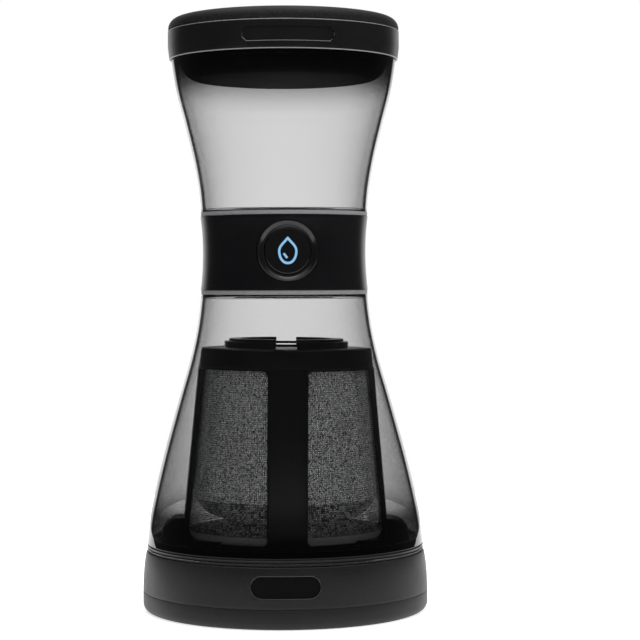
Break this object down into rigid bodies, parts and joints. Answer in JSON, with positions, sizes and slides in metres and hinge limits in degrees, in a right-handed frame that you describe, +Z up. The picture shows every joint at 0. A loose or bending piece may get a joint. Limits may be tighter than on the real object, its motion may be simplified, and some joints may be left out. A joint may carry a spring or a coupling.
{
  "type": "cold brew coffee maker",
  "caption": "Hourglass cold brew coffee maker: smoky clear brew and serving chambers, waisted black collar with a push-button valve, screw-in filter, base with foot ring and screw lid.",
  "frame": {"origin": "middle of the underside of the foot ring, on the surface that the brewer stands on", "axes": "+Z up along the axis of both chambers, the push button and both plaques face -Y, +X to the right of someone facing the button"},
  "size_m": [0.159, 0.159, 0.33],
  "materials": {
    "foot_rubber": "matte moulded soft rubber, a shade lighter than the base",
    "bumper_rubber": "fine-grained soft moulding",
    "soft_touch_black": "grainy soft-touch coating",
    "black_plastic": "satin moulded black",
    "black_gloss": "semi-gloss moulded black",
    "smoky_clear": "smoke-tinted clear, polished",
    "filter_mesh": "fine woven mesh",
    "spring_steel": "bright drawn wire",
    "seal_rubber": "matte seal rubber"
  },
  "bodies": {
    "base": {"foot_ring": "foot_rubber", "base_cap": "soft_touch_black"},
    "base_plug": {"base_plug": "black_plastic", "base_gasket": "seal_rubber"},
    "filter": {"filter_cage": "black_plastic", "filter_hem": "black_plastic", "filter_mesh": "filter_mesh", "strainer_cup": "filter_mesh"},
    "filter_cap_gasket": {"filter_cap_gasket": "seal_rubber"},
    "filter_cap": {"filter_cap": "black_plastic"},
    "brew_chamber": {"brew_chamber": "smoky_clear"},
    "lower_neck_gasket": {"lower_neck_gasket": "seal_rubber"},
    "valve_collar": {"collar": "black_plastic", "valve_core": "black_plastic", "button_ring": "black_gloss", "valve_spring": "spring_steel"},
    "button": {"button_cap": "black_gloss", "valve_spool": "black_plastic", "spool_seal_front": "seal_rubber", "spool_seal_back": "seal_rubber"},
    "upper_neck_gasket": {"upper_neck_gasket": "seal_rubber"},
    "serving_chamber": {"serving_chamber": "smoky_clear"},
    "lid_plug": {"lid_plug": "black_plastic", "lid_gasket": "seal_rubber"},
    "lid_cap": {"lid_cap": "black_plastic", "lid_bumper_ring": "bumper_rubber"}
  },
  "joints": [
    {"name": "base_turn", "type": "hinge", "parent": "base", "child": "base_plug", "pos_m": [0, 0, 0.02], "axis": [0, 0, 1], "range_deg": [0, 120]},
    {"name": "brew_chamber_lift", "type": "slide", "parent": "base_plug", "child": "brew_chamber", "axis": [0, 0, 1], "range_m": [0, 0.145]},
    {"name": "filter_twist", "type": "hinge", "parent": "base_plug", "child": "filter", "pos_m": [0, 0, 0.04], "axis": [0, 0, 1], "range_deg": [0, 24]},
    {"name": "filter_cap_lift", "type": "slide", "parent": "filter", "child": "filter_cap_gasket", "axis": [0, 0, 1], "range_m": [0, 0.02]},
    {"name": "filter_cap_turn", "type": "hinge", "parent": "filter_cap_gasket", "child": "filter_cap", "pos_m": [0, 0, 0.145], "axis": [0, 0, 1], "range_deg": [0, 90]},
    {"name": "collar_lift", "type": "slide", "parent": "brew_chamber", "child": "lower_neck_gasket", "axis": [0, 0, 1], "range_m": [0, 0.02]},
    {"name": "collar_turn", "type": "hinge", "parent": "lower_neck_gasket", "child": "valve_collar", "pos_m": [0, 0, 0.187], "axis": [0, 0, 1], "range_deg": [0, 120]},
    {"name": "button_press", "type": "slide", "parent": "valve_collar", "child": "button", "axis": [0, 1, 0], "range_m": [0, 0.0066], "stiffness_N_per_m": 500, "deforming": ["valve_spring"]},
    {"name": "serving_chamber_lift", "type": "slide", "parent": "valve_collar", "child": "upper_neck_gasket", "axis": [0, 0, 1], "range_m": [0, 0.02]},
    {"name": "serving_chamber_turn", "type": "hinge", "parent": "upper_neck_gasket", "child": "serving_chamber", "pos_m": [0, 0, 0.212], "axis": [0, 0, 1], "range_deg": [0, 120]},
    {"name": "lid_lift", "type": "slide", "parent": "serving_chamber", "child": "lid_plug", "axis": [0, 0, 1], "range_m": [0, 0.045]},
    {"name": "lid_turn", "type": "hinge", "parent": "lid_plug", "child": "lid_cap", "pos_m": [0, 0, 0.32], "axis": [0, 0, 1], "range_deg": [0, 120]}
  ]
}
